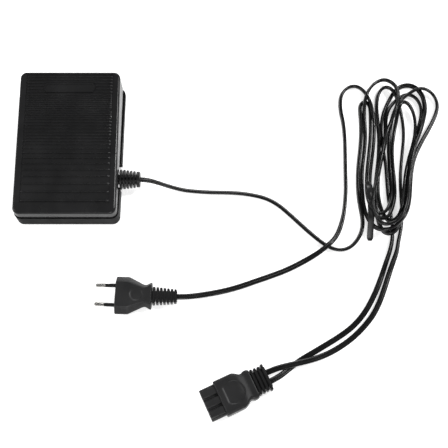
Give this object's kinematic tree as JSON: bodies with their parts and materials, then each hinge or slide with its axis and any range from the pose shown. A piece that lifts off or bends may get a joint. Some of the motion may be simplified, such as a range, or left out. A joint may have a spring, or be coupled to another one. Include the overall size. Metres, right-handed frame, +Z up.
{
  "type": "sewing machine foot control",
  "caption": "Wedge-shaped treadle foot control with graded grip ribs, a ribbed side outlet, a flat two-pin plug and a three-socket connector on folded flat cords.",
  "frame": {"origin": "on the floor under the middle of the pedal's base, under its rubber feet", "axes": "+Z up, +Y towards the raised end of the treadle, +X towards the side that the cord leaves"},
  "size_m": [0.4142, 0.3401, 0.0437],
  "materials": {
    "treadle_plastic": "satin",
    "base_plastic": "satin",
    "foot_rubber": "matt",
    "relief_pvc": "satin",
    "cord_pvc": "satin",
    "tie_strap": "satin",
    "plug_plastic": "satin",
    "sleeve_plastic": "satin",
    "nickel_plate": "polished",
    "zinc_steel": "zinc plated",
    "spring_steel": "bright wire",
    "contact_brass": "bright",
    "sink_aluminium": "mill",
    "board_laminate": "solder mask",
    "winding_copper": "enamelled",
    "ferrite": "matt",
    "capacitor_yellow": "moulded",
    "capacitor_red": "dipped",
    "resistor_body": "lacquered",
    "diac_body": "lacquered",
    "trimmer_blue": "moulded",
    "trimmer_white": "moulded",
    "epoxy_black": "moulded",
    "phenolic": "moulded",
    "track_ceramic": "fired",
    "terminal_plastic": "moulded",
    "nylon": "moulded",
    "core_insulation": "extruded"
  },
  "bodies": {
    "base": {"base_tray": "base_plastic", "cord_clamp": "base_plastic", "rubber_feet": "foot_rubber", "travel_stops": "foot_rubber", "strain_relief": "relief_pvc", "plug_relief": "relief_pvc", "connector_relief": "relief_pvc", "cord_inside": "cord_pvc", "pedal_cord_lead": "cord_pvc", "mains_cord_lead": "cord_pvc", "lower_cord_tail": "cord_pvc", "upper_cord_tail": "cord_pvc", "cord_hank": "cord_pvc", "hank_tie": "tie_strap", "plug_body": "plug_plastic", "connector_body": "plug_plastic", "connector_nose": "plug_plastic", "pin_sleeves": "sleeve_plastic", "plug_pins": "nickel_plate", "hinge_rod": "zinc_steel", "hinge_clips": "zinc_steel", "board_screws": "zinc_steel", "triac_screw": "zinc_steel", "terminal_screws": "zinc_steel", "clamp_screws": "zinc_steel", "return_springs": "spring_steel", "plunger_spring": "spring_steel", "connector_contacts": "contact_brass", "heat_sink": "sink_aluminium", "circuit_board": "board_laminate", "choke_winding": "winding_copper", "choke_core": "ferrite", "capacitor": "capacitor_yellow", "timing_capacitor": "capacitor_red", "resistors": "resistor_body", "diac": "diac_body", "trimmer": "trimmer_blue", "trimmer_rotor": "trimmer_white", "triac": "epoxy_black", "slider_guide": "phenolic", "resistance_track": "track_ceramic", "terminal_block": "terminal_plastic", "cord_cores": "core_insulation"},
    "treadle": {"treadle_cover": "treadle_plastic", "actuator_finger": "nylon", "actuator_screws": "zinc_steel", "spring_cups": "nylon"},
    "plunger": {"slider_plunger": "nylon", "wiper_contact": "contact_brass"}
  },
  "joints": [
    {"name": "treadle_hinge", "type": "hinge", "parent": "base", "child": "treadle", "pos_m": [0, -0.058, 0.014], "axis": [-1, 0, 0], "range_deg": [0, 6], "stiffness_Nm_per_rad": 8.5, "springref_deg": -3.32, "deforming": ["return_springs"]},
    {"name": "plunger_slide", "type": "slide", "parent": "base", "child": "plunger", "axis": [0, 0, -1], "range_m": [0, 0.0068], "deforming": ["plunger_spring"]}
  ],
  "couplings": [
    {"joint": "plunger_slide", "follows": "treadle_hinge", "m_per_rad": 0.0638}
  ]
}
